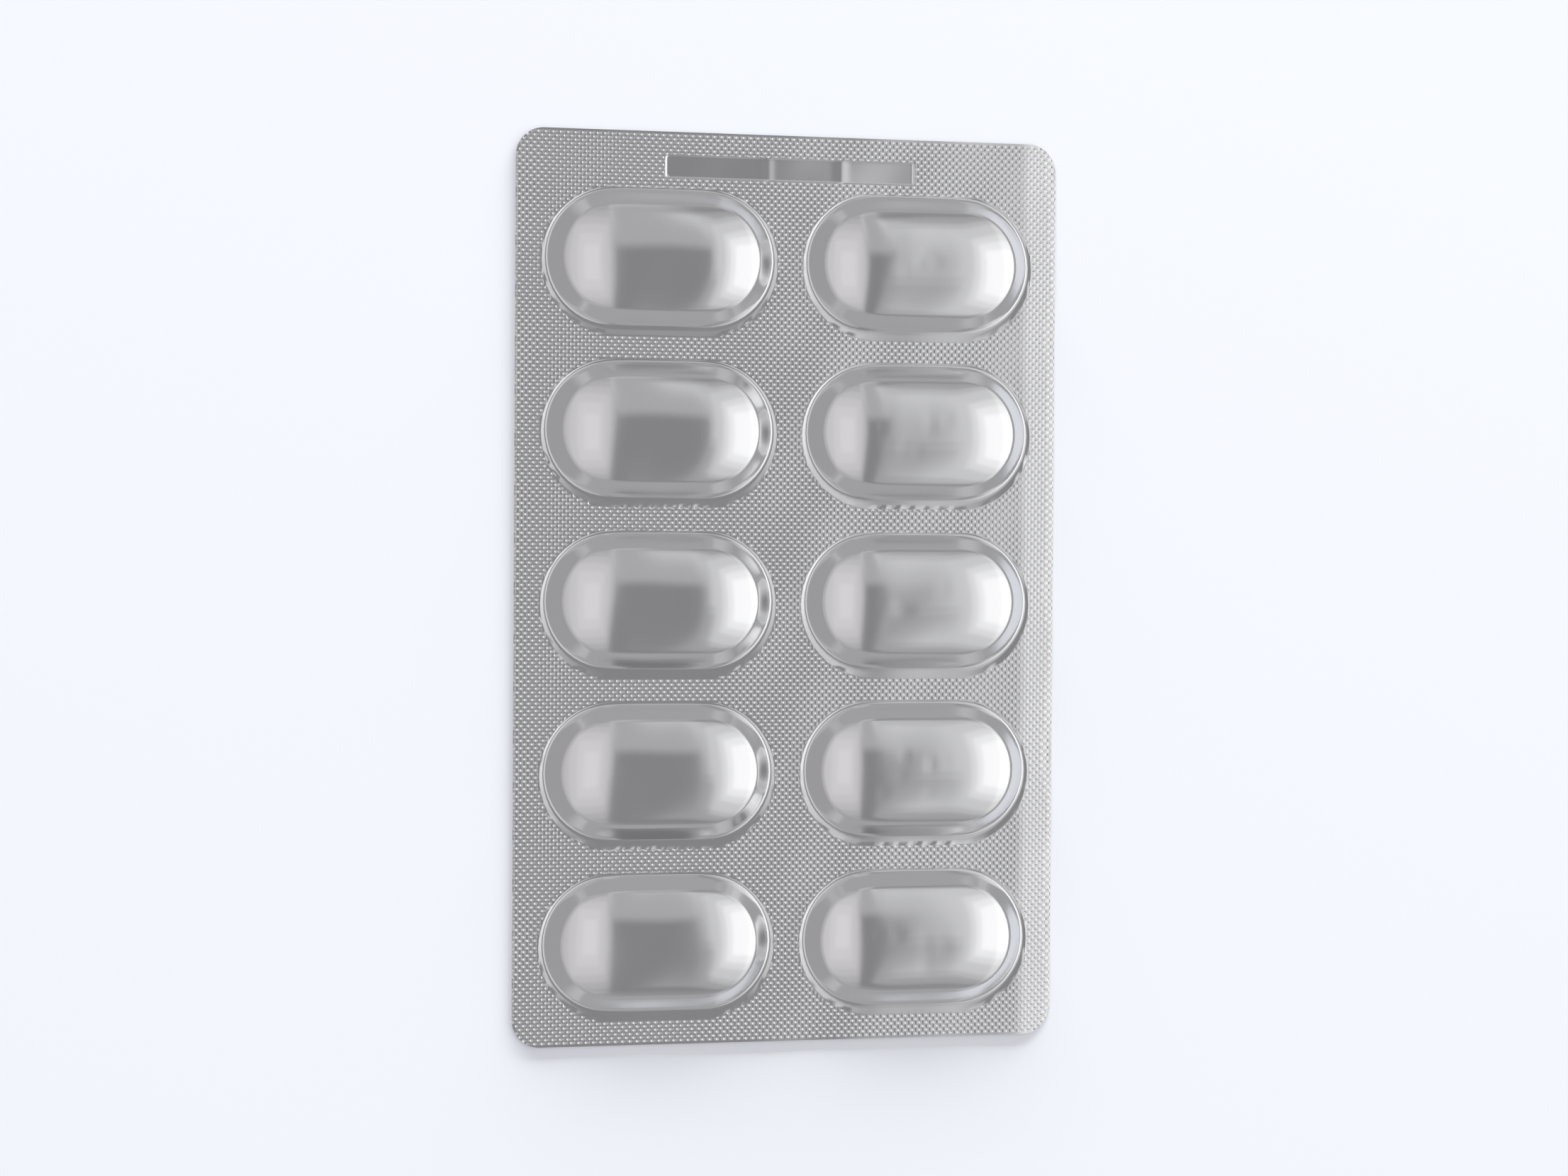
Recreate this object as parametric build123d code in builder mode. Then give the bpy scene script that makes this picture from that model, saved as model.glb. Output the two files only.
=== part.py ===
"""Sealed pill blister pack: ten capsule-shaped foil pockets, two across and five down.

Lengths are in millimetres. X runs across the pack, Y along it towards the end with
the bare code panel, and Z up, pocket side up. The back lies flat on Z = 0 and the
origin is under the middle of the pack.
"""
from build123d import *
import math
import os

# Overall size of the sealed card.
pack_width = 68.0
pack_length = 112.0
corner_radius = 3.5

# Thickness of the sealed web over its pressed pattern, and the step down to smooth foil.
web_thickness = 0.40
smooth_step = 0.10

# Bare code panel, and its distances from the end of the card and from the first row.
panel_width = 31.4
panel_height = 2.9
panel_corner = 0.4
panel_to_edge = 2.8
panel_to_pocket = 1.3

# Layout. The pockets fill what the margins and gaps leave of the card.
pocket_columns = 2
pocket_rows = 5
side_margin = 3.7
end_margin = 4.0
column_gap = 4.2
row_gap = 4.0

# Pocket section. The wall, shoulder and root are set, and the crown spans what is left.
wall_angle = 40.0
wall_height = 1.2
crown_angle = 25.0
shoulder_radius = 2.8
root_radius = 0.4

# Smooth border of each pocket, where the sealing plate is cut away.
border_top = 0.15
border_bottom = 0.95
border_end = 0.50

# Sizes worked out from the ones above.
head_margin = panel_to_edge + panel_height + panel_to_pocket
pocket_length = (pack_width - 2 * side_margin - (pocket_columns - 1) * column_gap) / pocket_columns
pocket_width = (pack_length - head_margin - end_margin - (pocket_rows - 1) * row_gap) / pocket_rows
half_width = pocket_width / 2
half_straight = (pocket_length - pocket_width) / 2
smooth_level = web_thickness - smooth_step
inside_level = smooth_level / 2
panel_y = pack_length / 2 - panel_to_edge - panel_height / 2
border_length = pocket_length + 2 * border_end
border_width = pocket_width + border_top + border_bottom
border_shift = (border_top - border_bottom) / 2

# Steps of the section, outwards and down from the crown.
wall_lean = math.radians(wall_angle)
crown_lean = math.radians(crown_angle)
wall_run = wall_height / math.tan(wall_lean)
shoulder_run = shoulder_radius * (math.sin(wall_lean) - math.sin(crown_lean))
shoulder_rise = shoulder_radius * (math.cos(crown_lean) - math.cos(wall_lean))
root_run = root_radius * math.sin(wall_lean)
root_rise = root_radius * (1 - math.cos(wall_lean))
crown_run = half_width - shoulder_run - wall_run - root_run
crown_radius = crown_run / math.sin(crown_lean)
crown_rise = crown_radius * (1 - math.cos(crown_lean))
top_level = smooth_level + root_rise + wall_height + shoulder_rise + crown_rise


def pocket_centres(shift=0.0):
    """Middles of the pockets, row by row from the code panel end, moved along Y by shift."""
    centres = []
    for row in range(pocket_rows):
        y = pack_length / 2 - head_margin - half_width - row * (pocket_width + row_gap)
        for column in range(pocket_columns):
            x = (column - (pocket_columns - 1) / 2) * (pocket_length + column_gap)
            centres.append((x, y + shift))
    return centres


def half_section(side):
    """Half of the pocket's section, on the side given as 1 or -1, with height along Y."""
    with BuildSketch() as section:
        with BuildLine():
            crown = JernArc((0, top_level), (side, 0), crown_radius, -side * crown_angle)
            shoulder = JernArc(crown @ 1, crown % 1, shoulder_radius, -side * (wall_angle - crown_angle))
            foot = shoulder @ 1
            wall = Line(foot, (foot.X + side * wall_run, foot.Y - wall_height))
            root = JernArc(wall @ 1, wall % 1, root_radius, side * wall_angle)
            Polyline(root @ 1, (side * half_width, inside_level), (0, inside_level), (0, top_level))
        make_face()
    return section.sketch_local


# One filled pocket: a barrel-topped middle with a half dome at each end.
with BuildPart() as pocket:
    with BuildSketch(Plane.YZ.offset(-half_straight)):
        add(half_section(1))
        add(half_section(-1))
    extrude(amount=2 * half_straight)
    with BuildSketch(Plane.YZ.offset(half_straight)):
        add(half_section(-1))
    revolve(axis=Axis((half_straight, 0, 0), (0, 0, 1)), revolution_arc=180)
    with BuildSketch(Plane.YZ.offset(-half_straight)):
        add(half_section(1))
    revolve(axis=Axis((-half_straight, 0, 0), (0, 0, 1)), revolution_arc=180)

with BuildPart() as blister_pack:
    with BuildSketch():
        RectangleRounded(pack_width, pack_length, corner_radius)
    extrude(amount=web_thickness)
    # Smooth foil round each pocket and at the code panel, a step below the pressed web.
    with BuildSketch(Plane.XY.offset(smooth_level)):
        with Locations(*pocket_centres(border_shift)):
            SlotOverall(border_length, border_width)
        with Locations((0, panel_y)):
            RectangleRounded(panel_width, panel_height, panel_corner)
    extrude(amount=smooth_step, mode=Mode.SUBTRACT)
    with Locations(*pocket_centres()):
        add(pocket.part)

os.makedirs("parts", exist_ok=True)
blister_pack.part.label = "blister_pack"
export_step(blister_pack.part, "parts/blister_pack.step")
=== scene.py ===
"""The looks of the sealed foil blister pack: pressed foil, camera, light and floor."""
import math

import bpy
import numpy as np
from mathutils import Matrix, Vector
from mathutils.geometry import delaunay_2d_cdt


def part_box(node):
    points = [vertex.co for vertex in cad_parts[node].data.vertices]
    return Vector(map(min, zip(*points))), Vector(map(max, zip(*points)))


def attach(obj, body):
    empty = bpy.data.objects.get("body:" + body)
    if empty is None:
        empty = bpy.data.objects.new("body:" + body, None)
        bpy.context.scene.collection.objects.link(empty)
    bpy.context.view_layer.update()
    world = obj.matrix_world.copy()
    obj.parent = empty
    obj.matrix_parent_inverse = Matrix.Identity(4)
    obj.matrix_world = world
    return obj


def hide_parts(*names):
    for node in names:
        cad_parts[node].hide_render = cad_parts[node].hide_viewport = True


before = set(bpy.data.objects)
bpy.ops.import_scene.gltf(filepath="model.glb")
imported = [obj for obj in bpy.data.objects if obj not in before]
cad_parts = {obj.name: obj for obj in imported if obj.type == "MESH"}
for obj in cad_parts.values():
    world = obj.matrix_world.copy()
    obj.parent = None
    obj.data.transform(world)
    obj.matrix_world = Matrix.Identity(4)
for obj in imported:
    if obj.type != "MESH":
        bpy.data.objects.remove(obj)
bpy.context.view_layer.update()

MM = 0.001

# Sizes of the pack in millimetres, as the CAD part has them.
pack_low, pack_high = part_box("blister_pack")
pack_width = (pack_high[0] - pack_low[0]) / MM
pack_length = (pack_high[1] - pack_low[1]) / MM
corner_radius = 3.5
web_top = 0.40
smooth_step = 0.10
smooth_level = web_top - smooth_step

panel_width = 31.4
panel_height = 2.9
panel_corner = 0.4
panel_to_edge = 2.8
panel_to_pocket = 1.3

pocket_columns = 2
pocket_rows = 5
side_margin = 3.7
end_margin = 4.0
column_gap = 4.2
row_gap = 4.0
head_margin = panel_to_edge + panel_height + panel_to_pocket
pocket_length = (pack_width - 2 * side_margin - (pocket_columns - 1) * column_gap) / pocket_columns
pocket_width = (pack_length - head_margin - end_margin - (pocket_rows - 1) * row_gap) / pocket_rows
half_width = pocket_width / 2
half_straight = (pocket_length - pocket_width) / 2
panel_y = pack_length / 2 - panel_to_edge - panel_height / 2

wall_lean = math.radians(40.0)
crown_lean = math.radians(25.0)
wall_height = 1.2
shoulder_radius = 2.8
root_radius = 0.4

border_top = 0.15
border_bottom = 0.95
border_end = 0.50
border_half_width = (pocket_width + border_top + border_bottom) / 2
border_half_straight = (pocket_length + 2 * border_end) / 2 - border_half_width
border_shift = (border_top - border_bottom) / 2
# The share of the border that is level before it rises to the web.
border_flat = 0.4

# The two foils. The lidding foil is the flat sheet under the formed one. The press pattern shows
# faintly in its underside, and there is a smooth window, set in a little, behind each pocket.
lid_thickness = 0.03
formed_clearance = 1.3 * lid_thickness
lid_pit_depth = 0.020
window_recess = 0.012
window_edge = 0.25

# The pressed pattern: one cone-shaped pit to each cell of a square lattice turned 45 degrees, and a
# low pillow where four cells meet.
pit_pitch = 0.903 / math.sqrt(2)
pit_radius = 0.205
pit_depth = 0.105
pit_corners = 8
pillow_height = 0.015
pillow_reach = pit_pitch / math.sqrt(2)
boundary_clearance = 0.06

# Mesh steps: along the card's edge and the panel's, and over the panel's face. The panel's wall
# slopes in by the inset.
card_step = 0.42
panel_step = 0.35
panel_grid = 0.3
panel_clearance = 0.12
panel_inset = 0.18

# Unevenness across the card: the left margin lifts towards its edge and the right one rolls down.
left_lean_start = 29.0
margin_lift = 0.13
right_roll_start = 29.4
roll_easing = 1.2
right_roll = math.radians(4.8)

# How softly the crown's straight middle passes into its round ends.
end_softness = 1.6

# Handling marks: creases across the code panel, as places and heights, and the dents.
panel_creases = ((-2.93, 0.035), (6.37, 0.050))
crease_width = 0.6
dents_per_pocket = 7


# ---------------------------------------------------------------- heights

def pocket_section(fine=1):
    """Inward distances from the rim and heights over the smooth foil, rim first."""
    wall_run = wall_height / math.tan(wall_lean)
    shoulder_run = shoulder_radius * (math.sin(wall_lean) - math.sin(crown_lean))
    root_run = root_radius * math.sin(wall_lean)
    crown_run = half_width - shoulder_run - wall_run - root_run
    crown_radius = crown_run / math.sin(crown_lean)
    steps = []
    for lean in np.linspace(0, wall_lean, 4 * fine + 1):
        steps.append((root_radius * math.sin(lean), root_radius * (1 - math.cos(lean))))
    run, rise = steps[-1]
    for part in (0.33, 0.67, 1.0):
        steps.append((run + part * wall_run, rise + part * wall_height))
    run, rise = steps[-1]
    for lean in np.linspace(wall_lean, crown_lean, 6 * fine + 1)[1:]:
        steps.append((run + shoulder_radius * (math.sin(wall_lean) - math.sin(lean)),
                      rise + shoulder_radius * (math.cos(lean) - math.cos(wall_lean))))
    run, rise = steps[-1]
    for lean in np.linspace(crown_lean, 0, 11 * fine + 1)[1:]:
        steps.append((run + crown_run - crown_radius * math.sin(lean),
                      rise + crown_radius * (math.cos(lean) - math.cos(crown_lean))))
    return steps


def ripple(x, y):
    """Slow unevenness of the whole card, in millimetres."""
    height = 0.020 * np.sin(0.31 * x + 0.9) * np.sin(0.27 * y + 0.4)
    height += 0.012 * np.sin(0.62 * x - 0.35 * y + 2.1)
    height += 0.010 * np.sin(0.21 * x + 0.58 * y + 4.0)
    return height


def dent(x, y, centre):
    """Small dents and rubbed ripples on the crowns of the right-hand pockets, in millimetres."""
    across = x - centre[0]
    along = y - centre[1]
    height = np.zeros(np.shape(x))
    if centre[0] < 0:
        return height
    chance = np.random.default_rng(int(100 + centre[1]))
    for _ in range(dents_per_pocket):
        place_x = chance.uniform(-5.5, 3.5)
        place_y = chance.uniform(-3.0, 3.5)
        wide = chance.uniform(0.45, 0.9)
        tall = chance.uniform(0.7, 1.6)
        depth = chance.uniform(0.006, 0.018)
        height -= depth * np.exp(-((across - place_x) / wide) ** 2 - ((along - place_y) / tall) ** 2)
    ripples = 0.006 * np.sin(2 * math.pi * along / 1.3 + 0.4 * across)
    return height + ripples * np.exp(-((along + 4.2) / 1.6) ** 2 - (across / 6.0) ** 2)


def dome_height(x, y, centre):
    """Height of a pocket over the smooth foil, with the round ends eased into the middle."""
    past = (np.abs(x - centre[0]) - half_straight) / end_softness
    eased = end_softness * np.logaddexp(0, past)
    inward = half_width - np.hypot(eased, y - centre[1])
    steps = np.array(pocket_section(fine=8))
    return np.interp(inward, steps[:, 0], steps[:, 1]) + dent(x, y, centre)


def panel_crease(x):
    """Two soft upright creases across the code panel, in millimetres."""
    height = np.zeros(np.shape(x))
    for place, depth in panel_creases:
        height += depth * np.exp(-((x - place) / crease_width) ** 2)
    return height


def pit_distance(x, y):
    """How far each point lies from the middle of the nearest pit of the lattice."""
    u = (x + y) / math.sqrt(2) / pit_pitch
    v = (y - x) / math.sqrt(2) / pit_pitch
    return pit_pitch * np.hypot(u - np.round(u), v - np.round(v))


def web_height(x, y):
    """Height of the pressed web: cone-shaped pits, and low pillows standing between them."""
    away = pit_distance(x, y)
    pit = np.clip(1 - away / pit_radius, 0, 1)
    pillow = np.clip((away - pit_radius) / (pillow_reach - pit_radius), 0, 1)
    return web_top - pit_depth * pit + pillow_height * pillow


def sway(x):
    """How far the card lifts or drops across its width, at its two side margins."""
    left = margin_lift * np.clip((-left_lean_start - x) / (pack_width / 2 - left_lean_start), 0, 1) ** 2
    past = np.clip(x - right_roll_start, 0, None)
    easing = np.minimum(past, roll_easing)
    right = math.tan(right_roll) * (easing ** 2 / (2 * roll_easing) + np.clip(past - roll_easing, 0, None))
    return left - right


# ---------------------------------------------------------------- mesh tools

class Skin:
    """Points and faces of one mesh, gathered patch by patch, in millimetres."""

    def __init__(self):
        self.points = []
        self.count = 0
        self.faces = []
        self.rounded = []

    def add_face(self, corners, rounded):
        """One face, shaded as part of a curve if rounded, or as a flat facet."""
        self.faces.append([int(n) for n in corners])
        self.rounded.append(rounded)

    def add_points(self, x, y, z):
        block = np.column_stack([np.ravel(x), np.ravel(y), np.broadcast_to(z, np.shape(np.ravel(x)))])
        self.points.append(block)
        first = self.count
        self.count += len(block)
        return np.arange(first, self.count)

    def add_ring_faces(self, outer, inner, rounded=True):
        """Quads between two closed loops of one length. They face up if outer runs anticlockwise."""
        following = np.roll(np.arange(len(outer)), -1)
        for a in range(len(outer)):
            b = following[a]
            face = [outer[a], outer[b], inner[b], inner[a]]
            tidy = [p for i, p in enumerate(face) if p != face[i - 1]]
            if len(set(tidy)) > 2:
                self.add_face(tidy, rounded)

    def all_points(self):
        return np.concatenate(self.points)


def capsule_loop(straight, arc_steps=26, side_steps=18):
    """Directions and centres round a capsule outline: (centre x, direction x, direction y)."""
    loop = []
    for step in range(arc_steps):
        turn = -math.pi / 2 + math.pi * step / arc_steps
        loop.append((straight, math.cos(turn), math.sin(turn)))
    for step in range(side_steps):
        loop.append((straight - 2 * straight * step / side_steps, 0.0, 1.0))
    for step in range(arc_steps):
        turn = math.pi / 2 + math.pi * step / arc_steps
        loop.append((-straight, math.cos(turn), math.sin(turn)))
    for step in range(side_steps):
        loop.append((-straight + 2 * straight * step / side_steps, 0.0, -1.0))
    return np.array(loop)


def capsule_points(straight, radius, centre):
    """Outline points of a capsule that lies along X, anticlockwise."""
    loop = capsule_loop(straight)
    return centre[0] + loop[:, 0] + radius * loop[:, 1], centre[1] + radius * loop[:, 2]


def rounded_rectangle(width, height, radius, centre, spacing):
    """Outline points, anticlockwise, about one spacing apart."""
    half_x = width / 2 - radius
    half_y = height / 2 - radius
    arc_steps = max(3, round(radius * math.pi / 2 / spacing))
    corners = [(half_x, -half_y, -90), (half_x, half_y, 0), (-half_x, half_y, 90), (-half_x, -half_y, 180)]
    outline = []
    for number, (cx, cy, start) in enumerate(corners):
        for step in range(arc_steps + 1):
            turn = math.radians(start + 90 * step / arc_steps)
            outline.append((cx + radius * math.cos(turn), cy + radius * math.sin(turn)))
        nx, ny, next_start = corners[(number + 1) % 4]
        end = math.radians(next_start)
        goal = (nx + radius * math.cos(end), ny + radius * math.sin(end))
        here = outline[-1]
        side_steps = max(1, round(math.dist(here, goal) / spacing))
        for step in range(1, side_steps):
            part = step / side_steps
            outline.append((here[0] + part * (goal[0] - here[0]), here[1] + part * (goal[1] - here[1])))
    outline = np.array(outline)
    return centre[0] + outline[:, 0], centre[1] + outline[:, 1]


def rectangle_distance(x, y, width, height, radius, centre=(0, 0)):
    """Signed distance to a rounded rectangle, negative inside."""
    dx = np.abs(x - centre[0]) - (width / 2 - radius)
    dy = np.abs(y - centre[1]) - (height / 2 - radius)
    outside = np.hypot(np.maximum(dx, 0), np.maximum(dy, 0))
    return outside + np.minimum(np.maximum(dx, dy), 0) - radius


def capsule_distance(x, y, straight, radius, centre):
    """Signed distance to a capsule outline that lies along X, negative inside."""
    dx = np.maximum(np.abs(x - centre[0]) - straight, 0)
    return np.hypot(dx, y - centre[1]) - radius


def pocket_centres(shift=0.0):
    """Middles of the pockets, row by row from the code panel end, moved along Y by shift."""
    centres = []
    for row in range(pocket_rows):
        y = pack_length / 2 - head_margin - half_width - row * (pocket_width + row_gap)
        for column in range(pocket_columns):
            x = (column - (pocket_columns - 1) / 2) * (pocket_length + column_gap)
            centres.append((x, y + shift))
    return centres


def card_outline():
    return rounded_rectangle(pack_width, pack_length, corner_radius, (0, 0), card_step)


def land_distance(x, y):
    """Signed distance to the part of the card outside the pockets' borders, negative on it."""
    far = rectangle_distance(x, y, pack_width, pack_length, corner_radius)
    for centre in pocket_centres(border_shift):
        far = np.maximum(far, -capsule_distance(x, y, border_half_straight, border_half_width, centre))
    return far


def web_distance(x, y):
    """Signed distance to the pressed web, which leaves out the code panel too, negative on it."""
    panel = rectangle_distance(x, y, panel_width, panel_height, panel_corner, (0, panel_y))
    return np.maximum(land_distance(x, y), -panel)


def fill_between(skin, loops, inner_x, inner_y, heights, distance, rounded):
    """Triangulate between the loops, where distance is negative, with loose points added inside."""
    known = np.concatenate(loops)
    points = skin.all_points()
    flat = [Vector((points[i, 0], points[i, 1])) for i in known]
    edges = []
    first = 0
    for loop in loops:
        for i in range(len(loop)):
            edges.append((first + i, first + (i + 1) % len(loop)))
        first += len(loop)
    flat += [Vector((x, y)) for x, y in zip(inner_x, inner_y)]
    fresh = skin.add_points(inner_x, inner_y, heights)
    numbers = np.concatenate([known, fresh])
    result = delaunay_2d_cdt(flat, edges, [], 0, 1e-6, True)
    corner_xy = np.array([(v.x, v.y) for v in result[0]])
    source = np.array([ids[0] for ids in result[3]])
    triangles = np.array(result[2])
    middle = corner_xy[triangles].mean(axis=1)
    keep = distance(middle[:, 0], middle[:, 1]) < 0
    for triangle in triangles[keep]:
        skin.add_face(numbers[source[triangle]], rounded)


def lattice_points(distance):
    """Middles and rims of the pits, and tops of the pillows, wherever distance is well below nought."""
    reach = math.ceil((pack_width + pack_length) / 2 / pit_pitch)
    cells = np.arange(-reach, reach + 1) * pit_pitch
    along_u, along_v = np.meshgrid(cells, cells)
    middle_x = ((along_u - along_v) / math.sqrt(2)).ravel()
    middle_y = ((along_u + along_v) / math.sqrt(2)).ravel()
    found_x, found_y = [middle_x, middle_x], [middle_y, middle_y + pillow_reach]
    for corner in range(pit_corners):
        turn = 2 * math.pi * (corner + 0.5) / pit_corners
        found_x.append(middle_x + pit_radius * math.cos(turn))
        found_y.append(middle_y + pit_radius * math.sin(turn))
    x = np.concatenate(found_x)
    y = np.concatenate(found_y)
    keep = distance(x, y) < -boundary_clearance
    return x[keep], y[keep]


def make_object(name, skin):
    """A Blender object in metres from the skin's points and faces."""
    mesh = bpy.data.meshes.new(name)
    mesh.from_pydata((skin.all_points() * MM).tolist(), [], skin.faces)
    mesh.polygons.foreach_set("use_smooth", skin.rounded)
    piece = bpy.data.objects.new(name, mesh)
    bpy.context.scene.collection.objects.link(piece)
    return piece


# ---------------------------------------------------------------- pieces

def press_pocket(skin, centre):
    """One pocket dome and its smooth border. Returns the border's outer loop."""
    loop = capsule_loop(half_straight)
    section = pocket_section()
    rings = []
    for run, _ in section[:-1]:
        radius = half_width - run
        x = centre[0] + loop[:, 0] + radius * loop[:, 1]
        y = centre[1] + radius * loop[:, 2]
        rings.append(skin.add_points(x, y, smooth_level + dome_height(x, y, centre)))
    spine_x, place = np.unique(np.round(loop[:, 0], 6), return_inverse=True)
    spine_x = spine_x + centre[0]
    middle_y = np.full(len(spine_x), centre[1])
    spine = skin.add_points(spine_x, middle_y, smooth_level + dome_height(spine_x, middle_y, centre))
    rings.append(spine[place])
    for outer, inner in zip(rings, rings[1:]):
        skin.add_ring_faces(outer, inner)

    rim_x, rim_y = capsule_points(half_straight, half_width, centre)
    border_centre = (centre[0], centre[1] + border_shift)
    out_x, out_y = capsule_points(border_half_straight, border_half_width, border_centre)
    foot_x = rim_x + border_flat * (out_x - rim_x)
    foot_y = rim_y + border_flat * (out_y - rim_y)
    foot = skin.add_points(foot_x, foot_y, smooth_level)
    skin.add_ring_faces(foot, rings[0])
    outer = skin.add_points(out_x, out_y, web_top)
    skin.add_ring_faces(outer, foot)
    return outer


def panel_face_distance(x, y):
    """Signed distance to the code panel's level face, negative on it."""
    width = panel_width - 2 * panel_inset
    height = panel_height - 2 * panel_inset
    return rectangle_distance(x, y, width, height, panel_corner - panel_inset, (0.0, panel_y))


def press_panel(skin):
    """The bare code panel. Returns its outer loop."""
    centre = (0.0, panel_y)
    out_x, out_y = rounded_rectangle(panel_width, panel_height, panel_corner, centre, panel_step)
    outer = skin.add_points(out_x, out_y, web_top)
    width = panel_width - 2 * panel_inset
    height = panel_height - 2 * panel_inset
    in_x, in_y = rounded_rectangle(width, height, panel_corner - panel_inset, centre, panel_step)
    if len(in_x) != len(out_x):
        raise ValueError("the panel's two loops differ")
    inner = skin.add_points(in_x, in_y, smooth_level + panel_crease(in_x))
    skin.add_ring_faces(outer, inner, rounded=False)

    across = np.arange(-panel_width / 2, panel_width / 2, panel_grid)
    along = panel_y + np.arange(-panel_height / 2, panel_height / 2, panel_grid)
    grid_x, grid_y = np.meshgrid(across, along)
    grid_x, grid_y = grid_x.ravel(), grid_y.ravel()
    keep = panel_face_distance(grid_x, grid_y) < -panel_clearance
    heights = smooth_level + panel_crease(grid_x[keep])
    fill_between(skin, [inner], grid_x[keep], grid_y[keep], heights, panel_face_distance, rounded=True)
    return outer


def make_formed_web():
    """The formed foil with what it holds: pressed web, pockets and panel on top, flat underneath."""
    skin = Skin()
    holes = [press_pocket(skin, centre) for centre in pocket_centres()]
    holes.append(press_panel(skin))
    edge_x, edge_y = card_outline()
    edge = skin.add_points(edge_x, edge_y, web_top)

    x, y = lattice_points(web_distance)
    fill_between(skin, [edge] + holes, x, y, web_height(x, y), web_distance, rounded=False)

    under = skin.add_points(edge_x, edge_y, lid_thickness)
    skin.add_ring_faces(under, edge, rounded=False)
    skin.add_face(under[::-1], rounded=False)
    points = skin.all_points()
    lift = ripple(points[:, 0], points[:, 1]) + sway(points[:, 0])
    above = points[:, 2] > lid_thickness
    points[:, 2] = np.where(above, np.maximum(points[:, 2] + lift, formed_clearance), points[:, 2])
    skin.points = [points]
    return make_object("formed_web", skin)


def make_lidding_foil():
    """The flat back foil: the press pattern shows faintly underneath, with a window behind each pocket."""
    skin = Skin()
    holes = []
    for centre in pocket_centres(border_shift):
        outer = skin.add_points(*capsule_points(border_half_straight, border_half_width, centre), 0.0)
        window_half_width = border_half_width - window_edge
        window_x, window_y = capsule_points(border_half_straight, window_half_width, centre)
        inner = skin.add_points(window_x, window_y, window_recess)
        skin.add_ring_faces(outer, inner, rounded=False)
        skin.add_face(np.unique(inner), rounded=False)
        holes.append(outer)
    edge_x, edge_y = card_outline()
    edge = skin.add_points(edge_x, edge_y, 0.0)

    x, y = lattice_points(land_distance)
    heights = lid_pit_depth * np.clip(1 - pit_distance(x, y) / pit_radius, 0, 1)
    fill_between(skin, [edge] + holes, x, y, heights, land_distance, rounded=False)
    for face in skin.faces:
        face.reverse()
    high = skin.add_points(edge_x, edge_y, lid_thickness)
    skin.add_ring_faces(edge, high, rounded=False)
    skin.add_face(high, rounded=False)
    return make_object("lidding_foil", skin)


# ---------------------------------------------------------------- materials

roughness_drift = 0.02


def foil_material(name, colour, roughness):
    """Bare metal foil whose roughness drifts slightly from place to place."""
    material = bpy.data.materials.new(name)
    material.use_nodes = True
    nodes = material.node_tree.nodes
    links = material.node_tree.links
    shader = nodes["Principled BSDF"]
    shader.inputs["Metallic"].default_value = 1.0
    shader.inputs["Base Color"].default_value = (*colour, 1.0)
    place = nodes.new("ShaderNodeTexCoord")
    cloud = nodes.new("ShaderNodeTexNoise")
    cloud.inputs["Scale"].default_value = 120.0
    cloud.inputs["Detail"].default_value = 4.0
    spread = nodes.new("ShaderNodeMapRange")
    spread.inputs["To Min"].default_value = roughness - roughness_drift
    spread.inputs["To Max"].default_value = roughness + roughness_drift
    links.new(place.outputs["Object"], cloud.inputs["Vector"])
    links.new(cloud.outputs["Fac"], spread.inputs["Value"])
    links.new(spread.outputs["Result"], shader.inputs["Roughness"])
    return material


def floor_material():
    """Plain matt pale floor."""
    material = bpy.data.materials.new("floor")
    material.use_nodes = True
    shader = material.node_tree.nodes["Principled BSDF"]
    shader.inputs["Base Color"].default_value = (0.86, 0.885, 0.93, 1.0)
    shader.inputs["Roughness"].default_value = 0.9
    shader.inputs["Specular IOR Level"].default_value = 0.0
    return material


# ---------------------------------------------------------------- scene

# The room's glow, by how far a direction leans along the pack (0 straight up, 1 level).
room_glow = ((0.79, 0.28), (0.89, 0.46))

# Soft panels: low and high angle across, low and high angle along, and glow.
left_panels = (
    (-89, -52, -70, 70, 0.145),
    (-56, 2.0, -60, 60, 0.175),
    (-51, 1.0, -53, 53, 0.11),
    (-45, -0.5, -45, 45, 0.09),
    (-39, -2.0, -37, 37, 0.08),
    (-31, -7.0, -28, 28, 0.07),
    (-24, -10.0, -17, 17, 0.07),
)
right_panels = (
    (12.2, 75, -54, 54, 0.185),
    (13.6, 19, -6, 48, 0.08),
    (13.6, 19, -14, 48, 0.08),
    (16.5, 75, -43, 43, 0.13),
    (19, 75, -48, 48, 0.16),
    (20, 74, -38, 38, 0.14),
    (24, 74, -33, 33, 0.16),
    (29, 74, -27, 27, 0.18),
    (35, 73, -20, 20, 0.18),
    (55, 89, -70, 70, 0.14),
)
back_panels = (
    (2, 12.5, 13, 62, 0.072),
    (2, 12.5, 16, 62, 0.072),
    (2, 12.5, 19, 62, 0.072),
)


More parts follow.
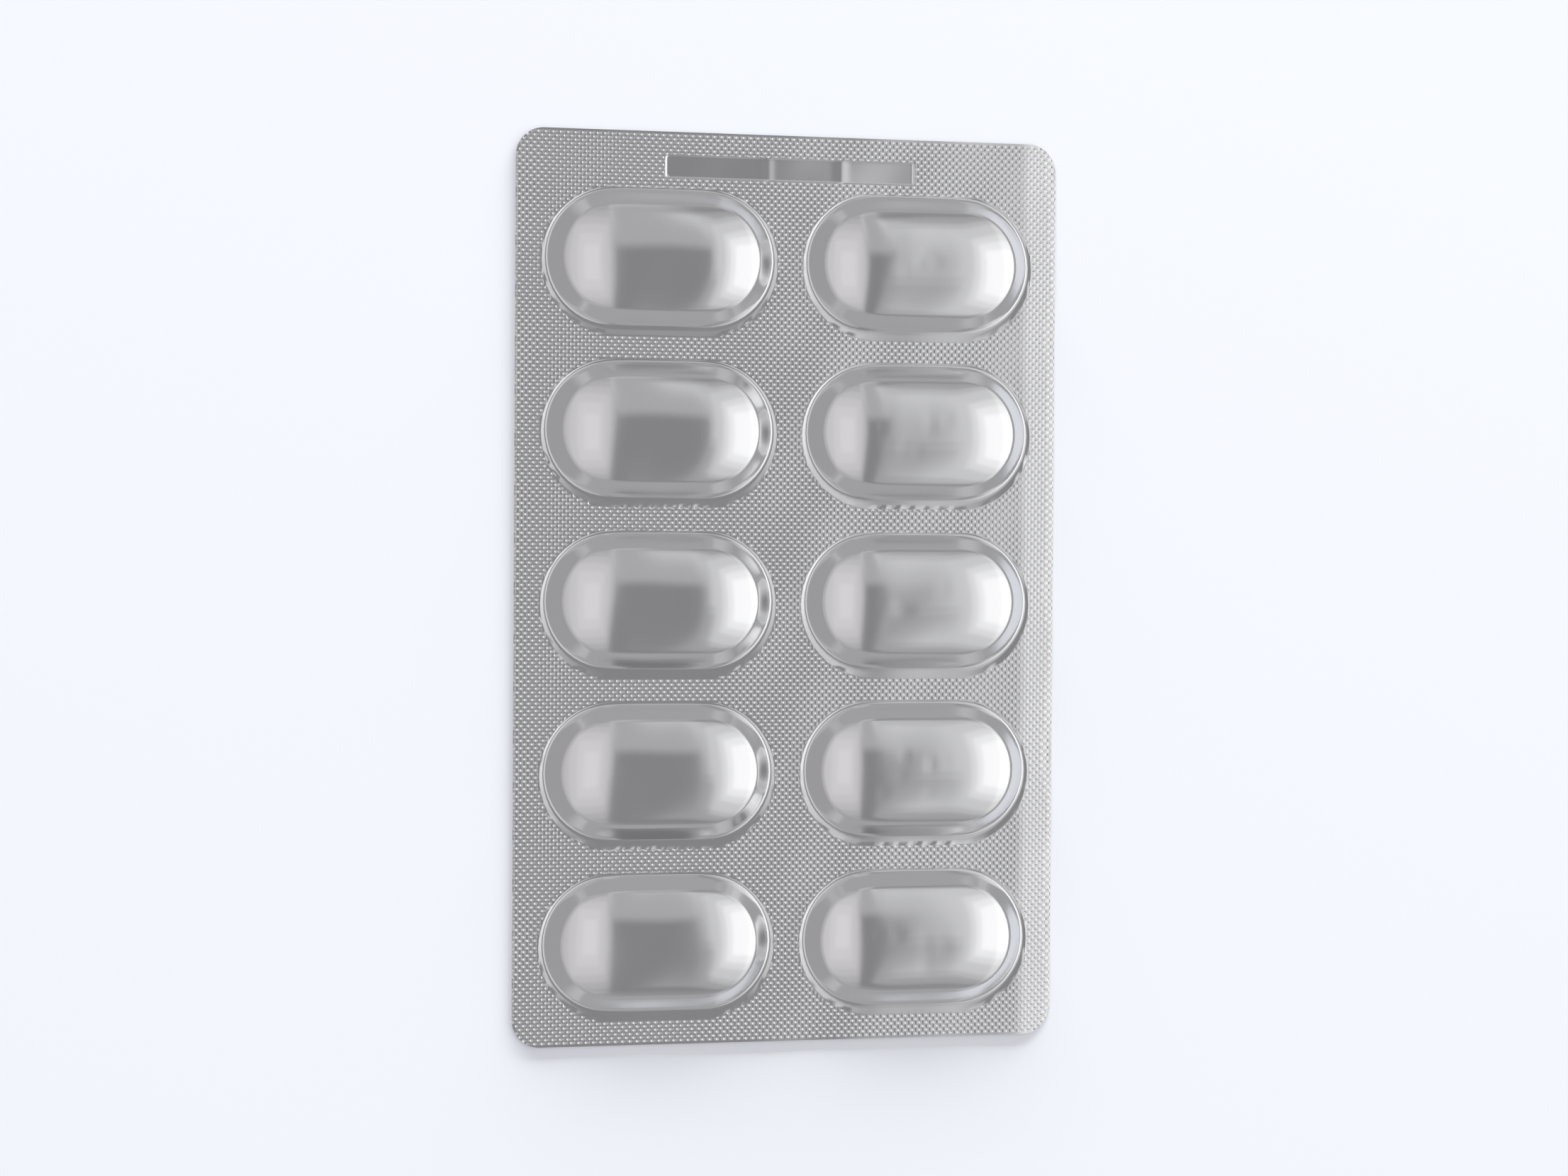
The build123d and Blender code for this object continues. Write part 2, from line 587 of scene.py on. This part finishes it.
def softbox(name, low_x, high_x, low_y, high_y, glow,
            tint=(1.0, 1.0, 1.0), distance=1.6, glossy=True):
    """A soft panel that fills the given angles from straight up, in degrees, seen from the pack."""
    lean_x = math.radians((low_x + high_x) / 2)
    lean_y = math.radians((low_y + high_y) / 2)
    half_x = math.radians((high_x - low_x) / 2)
    half_y = math.radians((high_y - low_y) / 2)
    level = math.cos(lean_y)
    towards = Vector((math.sin(lean_x) * level, math.sin(lean_y), math.cos(lean_x) * level))
    lamp = bpy.data.lights.new(name, "AREA")
    lamp.shape = "RECTANGLE"
    lamp.size = 2 * distance * math.tan(half_x)
    lamp.size_y = 2 * distance * math.tan(half_y)
    lamp.energy = glow * math.pi * lamp.size * lamp.size_y
    lamp.color = tint
    holder = bpy.data.objects.new(name, lamp)
    back = towards.normalized()
    side = Vector((0, 1, 0)).cross(back).normalized()
    up = back.cross(side)
    turn = Matrix((side, up, back)).transposed()
    holder.matrix_world = Matrix.Translation(back * distance) @ turn.to_4x4()
    holder.visible_camera = False
    holder.visible_glossy = glossy
    bpy.context.scene.collection.objects.link(holder)
    return holder


def make_camera():
    """A camera that looks down on the pack, a little from its left."""
    distance = 0.3375
    lean_left = math.radians(10.97)
    lean_up = math.radians(0.834)
    roll = math.radians(-0.358)
    target = Vector((-0.00055, 0.00017, 0.0003))
    level = math.cos(lean_up)
    back = Vector((-math.sin(lean_left) * level, math.sin(lean_up), math.cos(lean_left) * level))
    side = Vector((0, 1, 0)).cross(back).normalized()
    up = back.cross(side)
    turn = Matrix((side, up, back)).transposed() @ Matrix.Rotation(-roll, 3, "Z")
    lens = bpy.data.cameras.new("camera")
    lens.sensor_width = 36.0
    lens.lens = 62.6
    lens.clip_start = 0.01
    camera = bpy.data.objects.new("camera", lens)
    camera.matrix_world = Matrix.Translation(target + back * distance) @ turn.to_4x4()
    bpy.context.scene.collection.objects.link(camera)
    bpy.context.scene.camera = camera


def make_floor():
    """A wide floor, a hair under the pack's back."""
    half = 1.5
    mesh = bpy.data.meshes.new("floor")
    corners = [(-half, -half, 0), (half, -half, 0), (half, half, 0), (-half, half, 0)]
    mesh.from_pydata(corners, [], [(0, 1, 2, 3)])
    floor = bpy.data.objects.new("floor", mesh)
    floor.location.z = -0.00002
    bpy.context.scene.collection.objects.link(floor)
    mesh.materials.append(floor_material())


def make_world():
    """An even grey room, paler low down beyond each end of the pack."""
    world = bpy.data.worlds.new("world")
    bpy.context.scene.world = world
    world.use_nodes = True
    nodes = world.node_tree.nodes
    links = world.node_tree.links
    direction = nodes.new("ShaderNodeTexCoord")
    parts = nodes.new("ShaderNodeSeparateXYZ")
    lengthwise = nodes.new("ShaderNodeMath")
    lengthwise.operation = "ABSOLUTE"
    ramp = nodes.new("ShaderNodeValToRGB")
    for stop, (position, glow) in zip(ramp.color_ramp.elements, room_glow):
        stop.position = position
        stop.color = (glow, glow, 1.03 * glow, 1.0)
    links.new(direction.outputs["Generated"], parts.inputs["Vector"])
    links.new(parts.outputs["Y"], lengthwise.inputs[0])
    links.new(lengthwise.outputs["Value"], ramp.inputs["Fac"])
    links.new(ramp.outputs["Color"], nodes["Background"].inputs["Color"])


formed_web = make_formed_web()
formed_web.data.materials.append(foil_material("forming_foil", (0.75, 0.75, 0.755), 0.13))
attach(formed_web, "root")
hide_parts("blister_pack")

lidding_foil = make_lidding_foil()
lidding_foil.data.materials.append(foil_material("lidding_foil", (0.76, 0.76, 0.765), 0.3))
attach(lidding_foil, "root")

make_floor()
make_world()
make_camera()
# Nested panels, each adding its glow to the ones around it, so that their edges are soft.
for panel in left_panels:
    softbox("left_panel", *panel, tint=(1.0, 0.965, 0.995))
for panel in right_panels + back_panels:
    softbox("panel", *panel)
softbox("back_key", -45, 45, 73, 87, 21.0, distance=3.0, glossy=False)
bpy.context.scene.view_settings.view_transform = "Standard"
